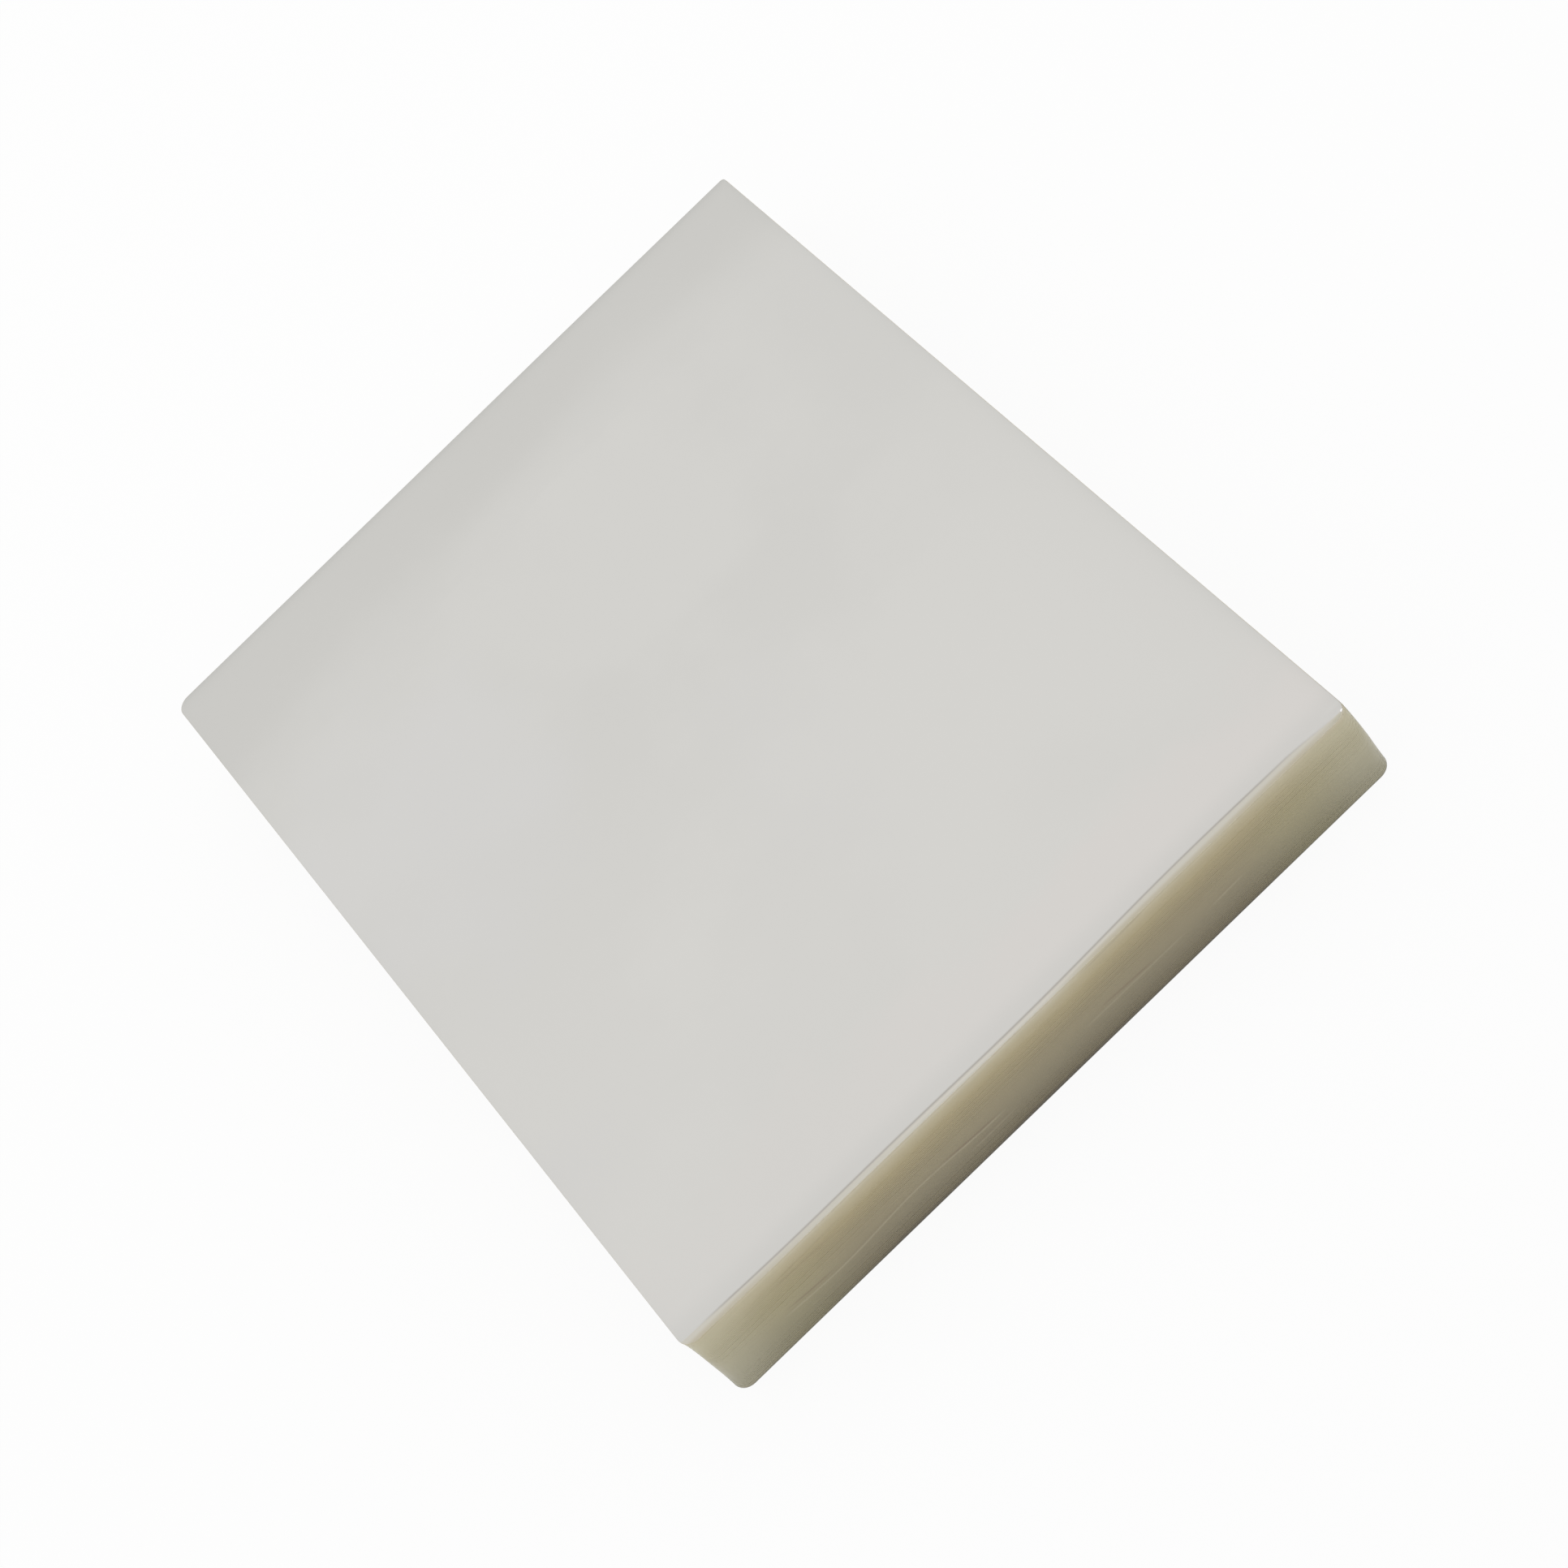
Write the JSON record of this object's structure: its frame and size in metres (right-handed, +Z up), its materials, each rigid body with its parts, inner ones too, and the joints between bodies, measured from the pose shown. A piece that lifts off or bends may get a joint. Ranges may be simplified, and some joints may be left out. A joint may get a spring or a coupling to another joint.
{
  "type": "stack of laminating pouches",
  "caption": "Flat stack of clear A4 laminating pouches with round corners, each two film leaves fused along one short edge, sealed edges together.",
  "frame": {"origin": "middle of the footprint, on the surface that the stack lies on", "axes": "+Z up through the stack, +Y from the sealed edges to the open ends, +X across the pouches"},
  "size_m": [0.2168, 0.3036, 0.0263],
  "materials": {
    "top_pouch_film": "smooth milky clear film, glossy, with a fused strip along the front edge",
    "stacked_pouch_film": "cut film edges, translucent and olive-tinted through the depth of the stack",
    "bottom_pouch_film": "smooth milky clear film, glossy"
  },
  "bodies": {
    "root": {"pouch_01": "bottom_pouch_film", "pouch_02": "stacked_pouch_film", "pouch_03": "stacked_pouch_film", "pouch_04": "stacked_pouch_film", "pouch_05": "stacked_pouch_film", "pouch_06": "stacked_pouch_film", "pouch_07": "stacked_pouch_film", "pouch_08": "stacked_pouch_film", "pouch_09": "stacked_pouch_film", "pouch_10": "stacked_pouch_film", "pouch_11": "stacked_pouch_film", "pouch_12": "stacked_pouch_film", "pouch_13": "stacked_pouch_film", "pouch_14": "stacked_pouch_film", "pouch_15": "stacked_pouch_film", "pouch_16": "stacked_pouch_film", "pouch_17": "stacked_pouch_film", "pouch_18": "stacked_pouch_film", "pouch_19": "stacked_pouch_film", "pouch_20": "stacked_pouch_film", "pouch_21": "stacked_pouch_film", "pouch_22": "stacked_pouch_film", "pouch_23": "stacked_pouch_film", "pouch_24": "stacked_pouch_film", "pouch_25": "stacked_pouch_film", "pouch_26": "stacked_pouch_film", "pouch_27": "stacked_pouch_film", "pouch_28": "stacked_pouch_film", "pouch_29": "stacked_pouch_film", "pouch_30": "stacked_pouch_film", "pouch_31": "stacked_pouch_film", "pouch_32": "stacked_pouch_film", "pouch_33": "stacked_pouch_film", "pouch_34": "stacked_pouch_film", "pouch_35": "stacked_pouch_film", "pouch_36": "stacked_pouch_film", "pouch_37": "stacked_pouch_film", "pouch_38": "stacked_pouch_film", "pouch_39": "stacked_pouch_film", "pouch_40": "stacked_pouch_film", "pouch_41": "stacked_pouch_film", "pouch_42": "stacked_pouch_film", "pouch_43": "stacked_pouch_film", "pouch_44": "stacked_pouch_film", "pouch_45": "stacked_pouch_film", "pouch_46": "stacked_pouch_film", "pouch_47": "stacked_pouch_film", "pouch_48": "stacked_pouch_film", "pouch_49": "stacked_pouch_film", "pouch_50": "top_pouch_film"}
  },
  "joints": []
}
